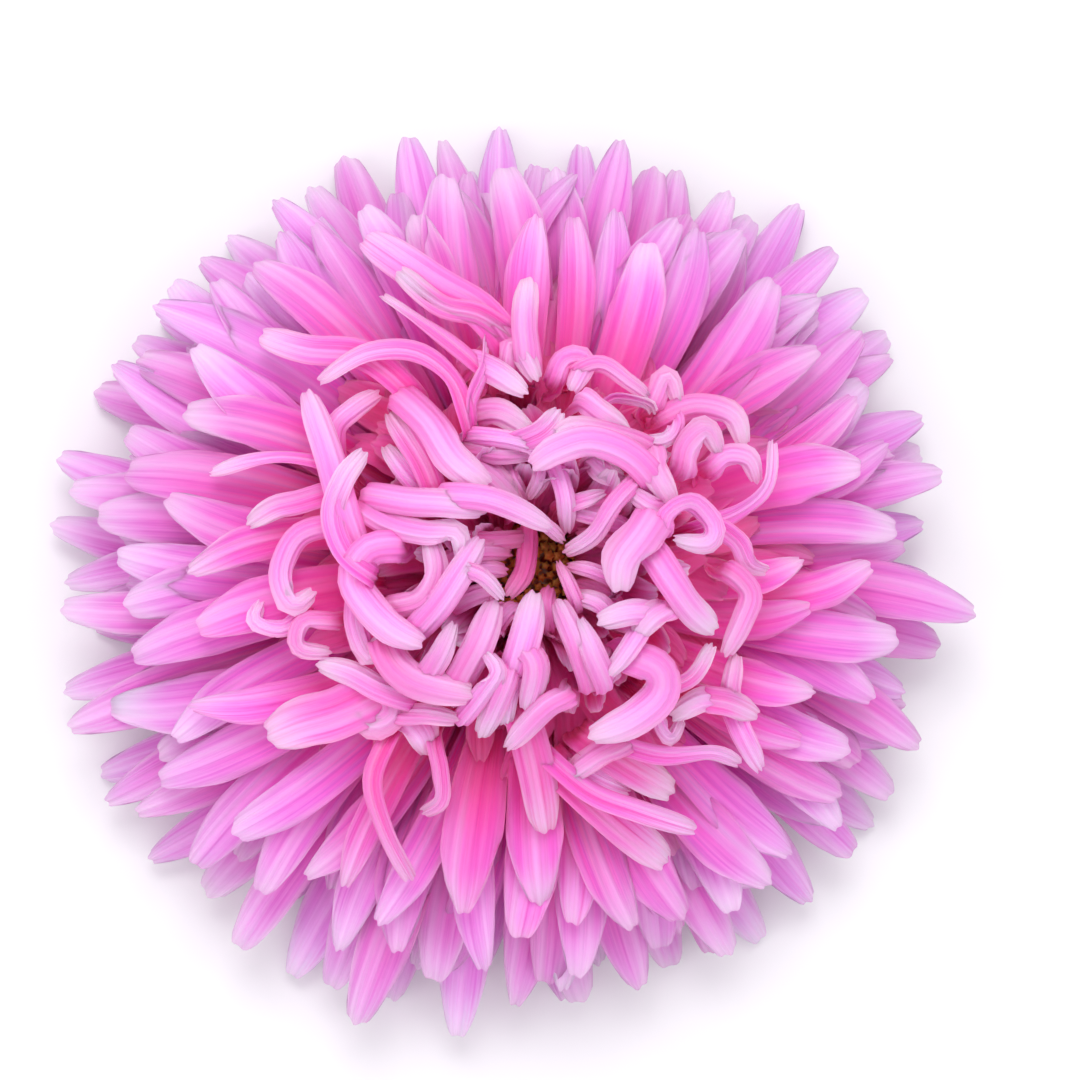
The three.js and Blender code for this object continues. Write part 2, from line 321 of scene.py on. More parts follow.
    place = node(read, "way_place", data_type="FLOAT_VECTOR")
    step = node(vector_node, side, out, operation="SCALE")
    place = node(vector_node, place, step, operation="ADD")
    step = node(vector_node, up, rise, operation="SCALE")
    place = node(vector_node, place, step, operation="ADD")
    step = node(vector_node, forward, back, operation="SCALE")
    place = node(vector_node, place, step, operation="SUBTRACT")
    mesh = node("GeometryNodeSetPosition", mesh, None, place)
    blade = node("ShaderNodeCombineXYZ", across, along, face)
    mesh = node(store, mesh, None, "blade", blade, data_type="FLOAT_VECTOR")

    # Both ends close where the two faces meet, and the thin rim stays a crisp edge.
    mesh = node("GeometryNodeMergeByDistance", mesh, None, 0.0001 * MM)
    mesh = node("GeometryNodeSetShadeSmooth", mesh)
    bend = node("GeometryNodeInputMeshEdgeAngle").outputs["Unsigned Angle"]
    crisp = node("FunctionNodeCompare", bend, 1.2, data_type="FLOAT", operation="GREATER_THAN")
    mesh = node("GeometryNodeSetShadeSmooth", mesh, crisp, False, domain="EDGE")
    mesh = node("GeometryNodeRealizeInstances", mesh)
    mesh = node("GeometryNodeSetMaterial", mesh, None, given["Material"])
    result = tree.nodes.new("NodeGroupOutput")
    tree.links.new(mesh.outputs[0], result.inputs[0])
    return tree


def unit(vectors):
    """Vectors brought to a length of 1."""
    return vectors / np.linalg.norm(vectors, axis=-1, keepdims=True)


def blade_line(points, side, width, roll, twist=(0, 0, 0), tone=0.5):
    """A blade's line through points in millimetres. Its side is carried along from the start. Roll and
    twist, in degrees, are given at the base, the middle and the tip."""
    points = np.array(points, float)
    forward = unit(np.gradient(points, axis=0))
    share = np.linspace(0, 1, len(points))
    turns = np.radians(np.interp(share, (0, 0.5, 1), twist))
    side = np.array(side, float)
    sides = []
    for ahead, turned in zip(forward, turns):
        side = unit(side - ahead * (side @ ahead))
        sides.append(side * math.cos(turned) + np.cross(ahead, side) * math.sin(turned))
    rolls = np.radians(np.interp(share, (0, 0.5, 1), roll))
    return dict(points=points * MM, side=np.array(sides), width=width * MM, roll=rolls, tone=tone)


def grow(name, lines, tree, **sizes):
    """Grows a blade along each line, and returns them as one plain mesh object."""
    data = bpy.data.meshes.new(name + "_lines")
    places = np.concatenate([line["points"] for line in lines])
    starts = np.cumsum([0] + [len(line["points"]) for line in lines])
    edges = [(i, i + 1) for a, b in zip(starts, starts[1:]) for i in range(a, b - 1)]
    data.from_pydata(places.tolist(), edges, [])
    sides = np.concatenate([line["side"] for line in lines])
    data.attributes.new("side", "FLOAT_VECTOR", "POINT").data.foreach_set("vector", sides.ravel())
    for title in ("width", "roll", "tone"):
        values = [np.resize(line[title], len(line["points"])) for line in lines]
        data.attributes.new(title, "FLOAT", "POINT").data.foreach_set("value", np.concatenate(values))
    source = bpy.data.objects.new(name + "_source", data)
    bpy.context.scene.collection.objects.link(source)
    modifier = source.modifiers.new("grow", "NODES")
    modifier.node_group = tree
    sockets = {s.name: s.identifier for s in tree.interface.items_tree if s.in_out == "INPUT"}
    for title, value in sizes.items():
        modifier[sockets[title]] = value
    source.update_tag()
    grown = source.evaluated_get(bpy.context.evaluated_depsgraph_get())
    mesh = bpy.data.meshes.new_from_object(grown)
    mesh.name = name
    for title in [a.name for a in mesh.attributes if a.name.startswith("way_")]:
        mesh.attributes.remove(mesh.attributes[title])
    bpy.data.objects.remove(source)
    piece = bpy.data.objects.new(name, mesh)
    bpy.context.scene.collection.objects.link(piece)
    return piece


# Fresh leaf: mid green and slightly waxy, with a pale midrib, side veins and a pale rim of fine hairs.
leafy_bract, shader = new_material("leafy_bract", roughness=0.5, ior=1.45, subsurface_weight=0.15)
shader.inputs["Subsurface Radius"].default_value = (0.5, 1.0, 0.2)
shader.inputs["Subsurface Scale"].default_value = 0.8 * MM
node = functools.partial(add, leafy_bract.node_tree)
blade = node("ShaderNodeAttribute", attribute_name="blade").outputs["Vector"]
blade = node("ShaderNodeSeparateXYZ", blade)
off_middle = node("ShaderNodeMath", blade.outputs["X"], operation="ABSOLUTE")
place = node("ShaderNodeTexCoord").outputs["Object"]
mottle = node("ShaderNodeTexNoise", place)
mottle.inputs["Scale"].default_value = 1 / (2.5 * MM)
green = node("ShaderNodeMix", mottle, linear("#3f6a2a"), linear("#6c9142"), data_type="RGBA")
slanted = node("ShaderNodeMath", blade.outputs["Y"], 60.0, operation="MULTIPLY")
slanted = node("ShaderNodeMath", off_middle, -11.0, slanted, operation="MULTIPLY_ADD")
veins = node("ShaderNodeMath", slanted, operation="COSINE")
veins = node("ShaderNodeMapRange", veins, 0.86, 1.0, 0.0, 0.5)
midrib = node("ShaderNodeMapRange", off_middle, 0.11, 0.04)
rim = node("ShaderNodeMapRange", off_middle, 0.93, 1.0, 0.0, 0.6)
pale = node("ShaderNodeMath", veins, midrib, operation="MAXIMUM")
pale = node("ShaderNodeMath", pale, rim, operation="MAXIMUM")
green = node("ShaderNodeMix", pale, green.outputs[2], linear("#a9bd7b"), data_type="RGBA")
leafy_bract.node_tree.links.new(green.outputs[2], shader.inputs["Base Color"])
bump = node("ShaderNodeBump", 0.6, 0.25 * MM)
leafy_bract.node_tree.links.new(pale.outputs[0], bump.inputs["Height"])
leafy_bract.node_tree.links.new(bump.outputs[0], shader.inputs["Normal"])

BRACT_OUTLINE = [(0, 0.5), (0.3, 0.62), (0.68, 1.0), (0.88, 0.86), (0.97, 0.5), (1.0, 0.2)]
bract_tree = blade_tree("bract", BRACT_OUTLINE, tube_roll=0.5)
random = np.random.default_rng(5)

BRACTS_PER_ROW = 8


def leafy_bracts(row, first, start, reach, width, height, arch, droop, sway, tip_roll, stations, ripple):
    """One row of leafy bracts, in millimetres and degrees. They go round from the first one's angle,
    and run from start out to reach. Arch is how far they rise on the way, droop is how far they sink
    by the tip, and sway is how far a tip may bend sideways."""
    for n in range(BRACTS_PER_ROW):
        azimuth = math.radians(first + 360 / BRACTS_PER_ROW * n)
        outward = np.array((math.cos(azimuth), math.sin(azimuth), 0))
        left = np.array((-math.sin(azimuth), math.cos(azimuth), 0))
        bend = random.uniform(-sway, sway)
        line = []
        for share in np.linspace(0, 1, 7):
            radius = start + (reach - start) * share
            rise = height + arch * math.sin(math.pi * share) - droop * share**2
            line.append(outward * radius + left * bend * share**2 + (0, 0, rise))
        turned = (0, bend * 4, bend * 7)
        line = blade_line(line, left, width, (25, 14, tip_roll), turned, random.uniform())
        piece = grow(
            f"{row}_leaf_{n + 1:02d}", [line], bract_tree, Stations=stations, Round=28,
            Thickness=0.5 * MM, Tip=0.4, Notch=0.05 * MM, Ripple=ripple * MM, Groove=0.0, Ribs=2.0,
            Material=leafy_bract,
        )
        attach(piece, "root")
        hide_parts(f"{row}_bract_{n + 1:02d}")


bract_high = np.array(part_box("lower_bract_01")[1]) / MM
leafy_bracts(
    "lower", first=22.5, start=2.8, reach=math.hypot(bract_high[0], bract_high[1]) - 1, width=8.0,
    height=4.7, arch=0.5, droop=2.6, sway=1.5, tip_roll=-14, stations=24, ripple=0.35,
)

# ------------------------------------------------------------------ upper leafy bracts
# Eight smaller leaves of the same kind, set between the lower ones and closer under the bloom.
bract_high = np.array(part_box("upper_bract_01")[1]) / MM
leafy_bracts(
    "upper", first=0, start=3.2, reach=bract_high[0], width=6.2,
    height=5.7, arch=0.7, droop=0.4, sway=1.2, tip_roll=-10, stations=22, ripple=0.25,
)

# ------------------------------------------------------------------ inner bracts
# A cup of thin, dry scales that lie over each other like roof tiles against the underside of the
# receptacle, in three rounds.
cup_low, cup_high = [np.array(corner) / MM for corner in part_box("inner_bracts")]
CUP_RADIUS = cup_high[0]
CUP_BOTTOM = cup_low[2]

# Papery scale: pale straw green, thin and a little shiny, with a darker streak along the middle.
papery_bract, shader = new_material("papery_bract", roughness=0.4, ior=1.45, subsurface_weight=0.2)
shader.inputs["Subsurface Scale"].default_value = 0.6 * MM
node = functools.partial(add, papery_bract.node_tree)
blade = node("ShaderNodeAttribute", attribute_name="blade").outputs["Vector"]
blade = node("ShaderNodeSeparateXYZ", blade)
off_middle = node("ShaderNodeMath", blade.outputs["X"], operation="ABSOLUTE")
edge = node("ShaderNodeMapRange", off_middle, 0.25, 0.9)
scale = node("ShaderNodeMix", edge, linear("#9fae66"), linear("#e6e3c2"), data_type="RGBA")
end = node("ShaderNodeMapRange", blade.outputs["Y"], 0.7, 1.0, 0.0, 0.5)
scale = node("ShaderNodeMix", end, scale.outputs[2], linear("#c79ab0"), data_type="RGBA")
papery_bract.node_tree.links.new(scale.outputs[2], shader.inputs["Base Color"])
lines_along = node("ShaderNodeMath", blade.outputs["X"], 40.0, operation="MULTIPLY")
lines_along = node("ShaderNodeMath", lines_along, operation="SINE")
bump = node("ShaderNodeBump", 0.3, 0.1 * MM)
papery_bract.node_tree.links.new(lines_along.outputs[0], bump.inputs["Height"])
papery_bract.node_tree.links.new(bump.outputs[0], shader.inputs["Normal"])

scales = []
for row, (count, start, reach) in enumerate(((12, 2.2, 11.5), (14, 5.5, 13.8), (16, 8.5, CUP_RADIUS))):
    for n in range(count):
        azimuth = 2 * math.pi * (n + 0.5 * row + random.uniform(-0.1, 0.1)) / count
        outward = np.array((math.cos(azimuth), math.sin(azimuth), 0))
        left = np.array((-math.sin(azimuth), math.cos(azimuth), 0))
        line = []
        for share in np.linspace(0, 1, 6):
            radius = start + (reach - start) * share
            height = CUP_BOTTOM - 0.25 + 0.3 * row + 3.3 * (radius / CUP_RADIUS) ** 2 - 0.35 * share
            line.append(outward * radius + (0, 0, height))
        scales.append(blade_line(line, left, 5.6, (20, 16, 12), tone=random.uniform()))
piece = grow(
    "inner_scales", scales, bract_tree, Stations=10, Round=16, Thickness=0.3 * MM,
    Tip=0.5, Notch=0.0, Ripple=0.1 * MM, Groove=0.0, Ribs=2.0, Material=papery_bract,
)
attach(piece, "root")
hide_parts("inner_bracts")

# ------------------------------------------------------------------ lowest florets
# The florets are thin straps that grow from the edge of the receptacle. Each leaves it as a narrow tube,
# opens into a shallow channel and ends in a narrowed tip. The lowest ones lie out almost flat and form
# the bloom's outline.
#
# Fresh petal: satin and thin enough for light to come through, which makes the folds glow. It is deep
# pink at the base and lilac at the tip, with fine veins along it, pale edges and a paler back. Painted
# shade makes it a deeper pink where it lies low in the bloom, and a painted highlight runs along each
# floret.


def petal(name, outward, colours, back, vein, painted_shade_share):
    """A petal material. Its colours run from base to tip as (place, colour) pairs. Outward is how much
    of that place comes from how far out in the bloom a point lies, and not along its own floret. The last
    argument is the share of painted shade, a deeper pink, that a petal gets where it lies well below the
    bloom's face."""
    material, shader = new_material(name, roughness=0.5, ior=1.4, specular_ior_level=0.3)
    shader.inputs["Subsurface Weight"].default_value = 0.5
    shader.inputs["Subsurface Radius"].default_value = (1.0, 0.5, 0.8)
    shader.inputs["Subsurface Scale"].default_value = 1.2 * MM
    shader.inputs["Sheen Weight"].default_value = 0.08
    tree = material.node_tree
    node = functools.partial(add, tree)
    blade = node("ShaderNodeAttribute", attribute_name="blade").outputs["Vector"]
    across, along, face = node("ShaderNodeSeparateXYZ", blade).outputs
    tone = node("ShaderNodeAttribute", attribute_name="tone").outputs["Fac"]
    place = node("ShaderNodeTexCoord").outputs["Object"]
    height = node("ShaderNodeSeparateXYZ", place).outputs["Z"]

    # The colour from base to tip, a little further on or back for each floret.
    place = node("ShaderNodeVectorMath", place, (1, 1, 0), operation="MULTIPLY")
    distance = node("ShaderNodeVectorMath", place, operation="LENGTH").outputs["Value"]
    where = node("ShaderNodeMath", distance, outward / (55 * MM), operation="MULTIPLY")
    where = node("ShaderNodeMath", along, 1 - outward, where, operation="MULTIPLY_ADD")
    uneven = node("ShaderNodeMath", tone, 0.5, operation="SUBTRACT")
    where = node("ShaderNodeMath", uneven, 0.1, where, operation="MULTIPLY_ADD")
    ramp = node("ShaderNodeValToRGB", where)
    stops = ramp.color_ramp.elements
    stops[0].position = colours[0][0]
    stops[0].color = linear(colours[0][1])
    stops[1].position = colours[-1][0]
    stops[1].color = linear(colours[-1][1])
    for position, colour in colours[1:-1]:
        stops.new(position).color = linear(colour)

    # Fine veins: noise that is drawn out along the floret and is different on each one.
    spread = node("ShaderNodeCombineXYZ")
    tree.links.new(node("ShaderNodeMath", across, 9.0, operation="MULTIPLY").outputs[0], spread.inputs[0])
    tree.links.new(node("ShaderNodeMath", along, 2.5, operation="MULTIPLY").outputs[0], spread.inputs[1])
    tree.links.new(node("ShaderNodeMath", tone, 37.0, operation="MULTIPLY").outputs[0], spread.inputs[2])
    streak = node("ShaderNodeTexNoise", spread)
    streak.inputs["Scale"].default_value = 1.0
    streak.inputs["Detail"].default_value = 4.0
    veins = node("ShaderNodeMapRange", streak, 0.42, 0.74, 0.0, 0.8)
    colour = node("ShaderNodeMix", veins, ramp, linear(vein), data_type="RGBA")

    # Pale edges, a paler back, and a tip that is paler on some florets than on others.
    edge = node("ShaderNodeMath", across, operation="ABSOLUTE")
    edge = node("ShaderNodeMapRange", edge, 0.75, 1.0, 0.0, 0.1)
    edge = node("ShaderNodeMath", edge, along, operation="MULTIPLY")
    colour = node("ShaderNodeMix", edge, colour.outputs[2], linear("#fbd8fa"), data_type="RGBA")
    behind = node("ShaderNodeMapRange", face, -0.05, -0.35, 0.0, 0.55)
    behind = node("ShaderNodeMath", behind, along, operation="MULTIPLY")
    colour = node("ShaderNodeMix", behind, colour.outputs[2], linear(back), data_type="RGBA")
    end = node("ShaderNodeMapRange", along, 0.82, 1.0, 0.0, 0.6, interpolation_type="SMOOTHSTEP")
    pale = node("ShaderNodeMath", tone, 5.3, operation="MULTIPLY")
    pale = node("ShaderNodeMath", pale, operation="FRACT")
    end = node("ShaderNodeMath", end, pale, operation="MULTIPLY")
    colour = node("ShaderNodeMix", end, colour.outputs[2], linear("#fadcfc"), data_type="RGBA")

    # A painted highlight: a paler band that runs along each floret, a little to one side of its middle,
    # and paler stripes on the crests of faint folds.
    fold = node("ShaderNodeMath", across, 2.5 * math.tau, operation="MULTIPLY")
    fold = node("ShaderNodeMath", fold, operation="COSINE")
    aside = node("ShaderNodeMath", tone, 3.7, operation="MULTIPLY")
    aside = node("ShaderNodeMath", aside, operation="FRACT")
    aside = node("ShaderNodeMath", aside, -0.9, 0.45, operation="MULTIPLY_ADD")
    aside = node("ShaderNodeMath", across, aside, operation="ADD")
    aside = node("ShaderNodeMath", aside, operation="ABSOLUTE")
    highlight_band = node("ShaderNodeMapRange", aside, 0.55, 0.05, 0.0, 0.44, interpolation_type="SMOOTHSTEP")
    painted_highlight = node("ShaderNodeMath", fold, 0.1, highlight_band, operation="MULTIPLY_ADD")
    painted_highlight = node("ShaderNodeMath", painted_highlight, along, operation="MULTIPLY")
    colour = node("ShaderNodeMix", painted_highlight, colour.outputs[2], linear("#ffcaf8"), data_type="RGBA")

    # Painted shade: a deeper pink where a point lies well below the bloom's face, which is taken as a
    # shallow dome.
    face_height = node("ShaderNodeMath", distance, distance, operation="MULTIPLY")
    face_height = node("ShaderNodeMath", face_height, -0.0135 / MM, 42 * MM, operation="MULTIPLY_ADD")
    painted_shade = node("ShaderNodeMath", face_height, height, operation="SUBTRACT")
    painted_shade = node("ShaderNodeMapRange", painted_shade, 1.5 * MM, 6.5 * MM, 0.0, painted_shade_share)
    colour = node("ShaderNodeMix", painted_shade, colour.outputs[2], linear("#fc509c"), data_type="RGBA")

    # Each floret's own brightness and hue.
    brighter = node("ShaderNodeMapRange", tone, 0.0, 1.0, 0.93, 1.05)
    bluer = node("ShaderNodeMapRange", tone, 0.0, 1.0, 0.504, 0.488)
    colour = node("ShaderNodeHueSaturation", bluer, None, brighter, None, colour.outputs[2])
    tree.links.new(colour.outputs[0], shader.inputs["Base Color"])
    relief = node("ShaderNodeMath", fold, 0.3, streak, operation="MULTIPLY_ADD")
    bump = node("ShaderNodeBump", 0.45, 0.3 * MM)
    tree.links.new(relief.outputs[0], bump.inputs["Height"])
    tree.links.new(bump.outputs[0], shader.inputs["Normal"])
    return material


OUTER_COLOURS = [
    (0.36, "#f02a90"), (0.54, "#f84cb6"), (0.7, "#fa6ecf"), (0.85, "#ec8ad8"), (1.0, "#da9cda"),
]
MIDDLE_COLOURS = [
    (0.36, "#f22a8e"), (0.54, "#fa48b0"), (0.72, "#fc6cce"), (0.88, "#f890e0"), (1.0, "#f0a6e6"),
]
INNER_COLOURS = [
    (0.08, "#b44c38"), (0.22, "#f8348a"), (0.5, "#fc52b2"), (0.78, "#fd7acf"), (1.0, "#fdb4f0"),
]
# The last number is each petal's share of painted shade, a deeper pink low in the bloom.
outer_petal = petal("outer_petal", 0.5, OUTER_COLOURS, "#d890d6", "#d858c0", 0.0)
middle_petal = petal("middle_petal", 0.5, MIDDLE_COLOURS, "#ea88d6", "#ea48ac", 0.5)
inner_petal = petal("inner_petal", 0.0, INNER_COLOURS, "#fca0e2", "#f048a4", 0.85)

FLORET_OUTLINE = [(0, 0.4), (0.25, 0.66), (0.55, 0.92), (0.8, 1.0), (0.9, 0.94), (0.96, 0.78), (1.0, 0.54)]
floret_tree = blade_tree("floret", FLORET_OUTLINE, tube_roll=1.6)
random = np.random.default_rng(11)


def ray(tip, seat_radius, seat_height, leave, arrive, sway, width, roll, twist, tone, least=0.8):
    """A floret's line from the receptacle out to its tip, which is an azimuth, a radius and a height.
    It leaves the seat and arrives at the tip at angles above the level, in degrees."""
    azimuth, radius, height = tip
    start = np.array((seat_radius, seat_height))
    end = np.array((radius, height))
    length = math.dist(start, end)
    leave, arrive = math.radians(leave), math.radians(arrive)
    first = start + 0.42 * length * np.array((math.cos(leave), math.sin(leave)))
    second = end - 0.35 * length * np.array((math.cos(arrive), math.sin(arrive)))
    t = np.linspace(0, 1, 7)[:, None]
    bow = (1 - t) ** 3 * start + 3 * (1 - t) ** 2 * t * first + 3 * (1 - t) * t**2 * second + t**3 * end
    around = azimuth + math.radians(sway) * (t[:, 0] ** 2 - 1)
    points = np.stack((bow[:, 0] * np.cos(around), bow[:, 0] * np.sin(around), bow[:, 1]), axis=1)
    points[:, 2] = np.maximum(points[:, 2], least)
    left = (-math.sin(around[0]), math.cos(around[0]), 0)
    return blade_line(points, left, width, roll, twist, tone)


# Where the outline's tips lie, in millimetres, anticlockwise from the top. The three outermost whorls
# take turns at them.
TIPS = [
    (-2, 55), (-9, 53), (-13, 53), (-21, 51), (-25, 47), (-29, 45), (-35, 41), (-38, 38), (-41, 35),
    (-43, 31), (-46, 28), (-48, 25), (-51, 22), (-55, 14), (-53, 10), (-56, 6), (-54, -1), (-54, -4),
    (-51, -6), (-54, -14), (-53, -18), (-50, -24), (-49, -27), (-45, -28), (-44, -34), (-37, -38),
    (-33, -44), (-27, -48), (-22, -49), (-19, -53), (-15, -51), (-7, -55), (0, -51), (6, -51), (8, -51),
    (15, -49), (19, -47), (24, -45), (26, -45), (30, -44), (36, -39), (41, -33), (44, -30), (46, -26),
    (49, -20), (43, -15), (52, -8), (56, -4), (51, 0), (50, 7), (52, 13), (50, 16), (50, 20), (46, 27),
    (46, 30), (43, 35), (39, 40), (35, 46), (29, 44), (26, 47), (20, 50), (17, 50), (13, 53), (8, 53),
    (2, 50),
]

# What each of the outer whorls is: how high its tips lie, the slope it leaves the receptacle with and
# the slope it ends with, and how many more florets fill it, up to which radius.
OUTER_WHORLS = [
    dict(height=2, leave=4, arrive=-14, more=18, radius=49),
    dict(height=6, leave=12, arrive=-16, more=18, radius=49),
    dict(height=10, leave=20, arrive=-16, more=18, radius=48.5),
]


TIP_LEVEL = 9  # the height at which tips are given, in millimetres
LEAN = (math.cos(CAMERA_SIDE) * math.tan(CAMERA_TILT), math.sin(CAMERA_SIDE) * math.tan(CAMERA_TILT))


def raised(x, y, height):
    """Where a tip given at the tip level lies when it is this high and shows at the same place."""
    return x + LEAN[0] * (height - TIP_LEVEL), y + LEAN[1] * (height - TIP_LEVEL)


def outline_florets(whorl):
    """The lines of one of the three outermost whorls."""
    given = OUTER_WHORLS[whorl]
    tips = []
    for x, y in TIPS[whorl::3]:
        height = given["height"] + random.uniform(-1, 1.5)
        x, y = raised(x, y, height)
        tips.append((math.atan2(y, x), math.hypot(x, y), height))
    for n in range(given["more"]):
        azimuth = math.tau * (n + random.uniform(-0.35, 0.35)) / given["more"] + whorl * 0.7
        radius = given["radius"] + random.uniform(-2, 1.5)
        tips.append((azimuth, radius, given["height"] + random.uniform(0, 3)))
    lines = []
    for tip in tips:
        turned = random.uniform(-12, 12)
        lines.append(
            ray(
                tip, (0.97 - 0.04 * whorl) * HEAD_RADIUS, 11 + 1.2 * whorl,
                given["leave"] + random.uniform(-4, 4), given["arrive"] + random.uniform(-10, 8),
                random.uniform(-5, 5), random.uniform(5.2, 6.8), (30, 20, 16),
                (0, turned * 0.4, turned), random.uniform(),
            )
        )
    return lines


OUTER_SIZES = dict(
    Stations=44, Round=24, Thickness=0.35 * MM, Tip=1.4, Notch=0.2 * MM, Ripple=0.35 * MM,
    Groove=0.08 * MM, Ribs=3.0, Material=outer_petal,
)
piece = grow("lowest_florets", outline_florets(0), floret_tree, **OUTER_SIZES)
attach(piece, "root")
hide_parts(*[f"lowest_floret_{n:02d}" for n in range(1, 25)])

# ------------------------------------------------------------------ outer whorls
# The next rounds of florets, which lie over the lowest ones like thatch and end a little further in and
# further up each time.
for whorl in (1, 2):
    piece = grow(f"florets_{whorl + 1:02d}", outline_florets(whorl), floret_tree, **OUTER_SIZES)
    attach(piece, "root")
    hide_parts(f"floret_whorl_{whorl + 1:02d}")


def whorl_florets(count, radius, height, leave, arrive, seat_radius, seat_height, width, roll, wild, first):
    """The lines of a whorl that goes all the way round, in millimetres and degrees. Wild is how far its
    florets stray and twist, and first is the first one's angle in radians."""
    lines = []
    for n in range(count):
        azimuth = first + math.tau * (n + random.uniform(-0.35, 0.35)) / count
        tip = (azimuth, radius + random.uniform(-2, 2), height + random.uniform(-1, 1) * (1 + wild))
        turned = random.uniform(-1, 1) * (12 + 50 * wild)
        lines.append(
            ray(
                tip, seat_radius, seat_height, leave + random.uniform(-6, 6),
                arrive + random.uniform(-10, 10) * (1 + wild), random.uniform(-1, 1) * (6 + 14 * wild),
                width * random.uniform(0.86, 1.1), roll, (0, turned * 0.4, turned), random.uniform(),
            )
        )
    return lines


# The longest florets of the upper whorls: where each one's tip lies and its width, in millimetres, then
# how far it sways sideways, in degrees. They go round anticlockwise from the top.
LONG_FLORETS = [
    (-1.5, 49, 6.5, 3), (-8.5, 48, 6.5, -4), (-12, 43, 5.5, 0), (-18, 44, 6, 2), (-24, 42, 6, 0),
    (-28, 41, 6.5, -3), (-31, 37, 6, 4), (-36, 35, 6.5, -3), (-43, 32, 7, 5), (-38, 27, 6.5, -4),
    (-45, 25.5, 6.5, 3), (-39, 19, 6, 6), (-46, 17, 6.5, -4), (-46, 12, 7, 3), (-41, 9, 6, -5),
    (-49.5, 7, 7, 2), (-38, 0.5, 4.5, 10), (-47, 2.5, 6.5, -4), (-37, -6, 6.5, 4), (-46, -3.5, 6.5, 3),
    (-48, -15.5, 7, -6), (-38, -15, 4.5, -8), (-45, -9.5, 6.5, 3), (-42, -24, 6, -3), (-40, -19, 5.5, 5),
    (-38, -34, 6, 3), (-33, -30, 5.5, -4), (-30, -37, 5.5, 4), (-24.5, -35, 5.5, -5), (-20, -36, 4, 4),
    (-16, -40.5, 5, -3), (-14, -44, 7, 5), (-21, -44, 5.5, 3), (-6, -39, 7.5, 3), (-3.5, -46, 5, 6),
    (0.5, -42, 6.5, -3), (3, -38, 6.8, 2), (7.5, -47, 6.5, -3), (7, -40.5, 6, -4), (14, -41, 6.5, 4),
    (20, -40, 6.5, 5), (26, -39.5, 6.5, -4), (30.5, -36, 6.5, 5), (33, -32.5, 6.5, 4), (39, -29.5, 6, -3),
    (39, -25.5, 5.5, 4), (40, -20, 5.8, 5), (34, -19, 4, 6), (43, -14, 6.5, -4), (35.5, -13, 5, 6),
    (46, -7, 6, 3), (42.5, 2, 4.8, 9), (35, -3, 5, 8), (46, 6, 5.5, -5), (34, 2.5, 4.5, 7),
    (41.5, 13.5, 7, -4), (45, 16.5, 5, 4), (41, 22, 4.5, 5), (36.5, 27.5, 6, -4), (42, 30, 6, 3),
    (37, 34, 6.5, -5), (31, 36, 7.2, 4), (27.5, 42, 6.5, -3), (22, 42, 6, 4), (19.5, 43, 6, -4),
    (16, 40, 6.5, 3), (7.3, 48.5, 4, -12), (7, 43, 4.5, 3), (2.5, 43, 5.5, -3), (12, 44, 5, 3),
]


def long_florets(nearest, furthest, seat_radius, seat_height, leave, roll):
    """The lines of the long florets whose tips are between two distances from the axis."""
    lines = []
    for x, y, width, sway in LONG_FLORETS:
        height = np.interp(math.hypot(x, y), (34, 40, 46, 51), (26, 23, 18, 13)) + random.uniform(-1, 1)
        x, y = raised(x, y, height)
        radius = math.hypot(x, y)
        if nearest <= radius < furthest:
            turned = random.uniform(-16, 16)
            lines.append(
                ray(
                    (math.atan2(y, x), radius, height), seat_radius, seat_height,
                    leave + random.uniform(-4, 6), random.uniform(-30, -6), sway * 1.4,
                    width, roll, (0, turned * 0.4, turned), random.uniform(),
                )
            )
    return lines


# Whorls 4 and 5: the florets that fill each one all the way round, and its longest florets.
for whorl, filling, longest in (
    (
        4,
        dict(
            count=20, radius=47, height=12, leave=28, arrive=-20, seat_radius=0.84 * HEAD_RADIUS,
            seat_height=14.6, width=6.6, roll=(30, 22, 16), wild=0.0, first=0.1,
        ),
        dict(
            nearest=46.5, furthest=60, seat_radius=0.82 * HEAD_RADIUS, seat_height=15.0, leave=34,
            roll=(30, 22, 14),
        ),
    ),
    (
        5,
        dict(
            count=12, radius=43, height=14.5, leave=34, arrive=-20, seat_radius=0.79 * HEAD_RADIUS,
            seat_height=15.8, width=6.4, roll=(30, 24, 16), wild=0.05, first=0.0,
        ),
        dict(
            nearest=43, furthest=46.5, seat_radius=0.77 * HEAD_RADIUS, seat_height=16.2, leave=42,
            roll=(32, 24, 14),
        ),
    ),
):
    lines = whorl_florets(**filling) + long_florets(**longest)
    piece = grow(f"florets_{whorl:02d}", lines, floret_tree, **OUTER_SIZES)
    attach(piece, "root")
    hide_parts(f"floret_whorl_{whorl:02d}")

# ------------------------------------------------------------------ middle whorls
# Florets that stand up steeply from the receptacle and bend over outwards. They are deeper pink, partly
# in their own colour and partly from painted shade, more folded, and turn this way and that.
MIDDLE_SIZES = dict(OUTER_SIZES, Groove=0.1 * MM, Ripple=0.35 * MM, Material=middle_petal)

